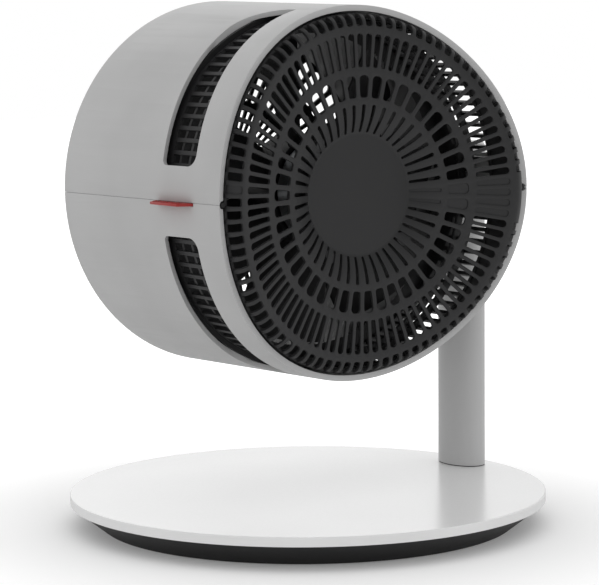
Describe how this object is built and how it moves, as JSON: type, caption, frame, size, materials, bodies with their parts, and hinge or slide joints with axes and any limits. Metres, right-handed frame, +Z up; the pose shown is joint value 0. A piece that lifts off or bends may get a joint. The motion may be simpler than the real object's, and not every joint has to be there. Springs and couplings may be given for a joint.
{
  "type": "air circulator fan",
  "caption": "Drum-shaped air circulator head with a dished round grille, tilting on a side post over a round turntable base.",
  "frame": {"origin": "centre of the round base on the surface it stands on", "axes": "+Z up; the dished inlet grille of the drum faces -Y, its outlet +Y, and the post stands on the +X side"},
  "size_m": [0.33, 0.33, 0.3605],
  "materials": {
    "air_duct": "charcoal",
    "ballast_ring": "raw",
    "base_disc": "satin light grey",
    "base_foot": "matt black",
    "bearings": "bright",
    "board_screws": "zinc plated",
    "control_board": "green laminate",
    "control_knob": "black",
    "disc_springs": "spring steel",
    "duct_screws": "zinc plated",
    "encoder": "black",
    "foot_pads": "matt",
    "friction_washers": "fibre",
    "guard_basket": "charcoal",
    "impeller": "charcoal",
    "impeller_nut": "charcoal",
    "inlet_grille": "fine matt charcoal",
    "knob_bezel": "black",
    "knob_spindle": "bright",
    "lead_cover": "charcoal",
    "lower_shell": "satin light grey",
    "motor_end_cap": "zinc plated",
    "motor_housing": "zinc plated can",
    "motor_mount": "glass-filled, charcoal",
    "motor_shaft": "ground",
    "mount_screws": "zinc plated",
    "outlet_grille": "charcoal",
    "outlet_screws": "blackened",
    "pivot_bush": "sintered bronze",
    "pivot_collar": "black",
    "post_cap": "satin light grey",
    "post_gasket": "matt",
    "post_head": "cast",
    "post_plate": "zinc plated",
    "post_plug": "machined",
    "post_screws": "zinc plated",
    "post_tube": "satin light grey",
    "power_inlet": "black",
    "release_tab": "red",
    "rotor": "laminated steel",
    "shaft_dowel": "ground",
    "shell_pins": "black",
    "stator": "laminated steel",
    "swivel_bush": "natural",
    "swivel_retainer": "zinc plated",
    "swivel_screws": "zinc plated",
    "tab_springs": "spring steel",
    "tilt_nut": "zinc plated",
    "tilt_shaft": "ground",
    "upper_shell": "satin light grey",
    "wear_ring": "natural"
  },
  "bodies": {
    "foot": {"base_foot": "base_foot", "foot_pads": "foot_pads", "ballast_ring": "ballast_ring", "wear_ring": "wear_ring", "swivel_bush": "swivel_bush", "control_board": "control_board", "board_screws": "board_screws", "power_inlet": "power_inlet"},
    "stand": {"base_disc": "base_disc", "swivel_retainer": "swivel_retainer", "swivel_screws": "swivel_screws", "post_gasket": "post_gasket", "post_tube": "post_tube", "post_plug": "post_plug", "post_plate": "post_plate", "post_screws": "post_screws", "post_head": "post_head", "post_cap": "post_cap", "pivot_bush": "pivot_bush", "encoder": "encoder", "knob_bezel": "knob_bezel"},
    "head": {"tilt_shaft": "tilt_shaft", "shaft_dowel": "shaft_dowel", "pivot_collar": "pivot_collar", "friction_washers": "friction_washers", "disc_springs": "disc_springs", "tilt_nut": "tilt_nut", "upper_shell": "upper_shell", "lower_shell": "lower_shell", "shell_pins": "shell_pins", "duct_screws": "duct_screws", "outlet_screws": "outlet_screws", "tab_springs": "tab_springs", "inlet_grille": "inlet_grille", "lead_cover": "lead_cover", "guard_basket": "guard_basket", "air_duct": "air_duct", "outlet_grille": "outlet_grille", "motor_mount": "motor_mount", "mount_screws": "mount_screws", "motor_housing": "motor_housing", "motor_end_cap": "motor_end_cap", "stator": "stator", "bearings": "bearings"},
    "fan": {"impeller": "impeller", "impeller_nut": "impeller_nut", "motor_shaft": "motor_shaft", "rotor": "rotor"},
    "tab": {"release_tab": "release_tab"},
    "knob": {"control_knob": "control_knob", "knob_spindle": "knob_spindle"}
  },
  "joints": [
    {"name": "turntable_swivel", "type": "hinge", "parent": "foot", "child": "stand", "pos_m": [0, 0, 0.02], "axis": [0, 0, 1], "range_deg": [-60, 60]},
    {"name": "head_tilt", "type": "hinge", "parent": "stand", "child": "head", "pos_m": [0.145, 0.012, 0.231], "axis": [1, 0, 0], "range_deg": [-20, 90]},
    {"name": "fan_spin", "type": "hinge", "parent": "head", "child": "fan", "pos_m": [0, 0, 0.231], "axis": [0, 1, 0], "continuous": true},
    {"name": "tab_press", "type": "slide", "parent": "head", "child": "tab", "axis": [1, 0, 0], "range_m": [0, 0.002], "stiffness_N_per_m": 1500, "springref_m": -0.0015, "deforming": ["tab_springs"]},
    {"name": "knob_turn", "type": "hinge", "parent": "stand", "child": "knob", "pos_m": [0.1606, 0.012, 0.231], "axis": [1, 0, 0], "continuous": true}
  ]
}
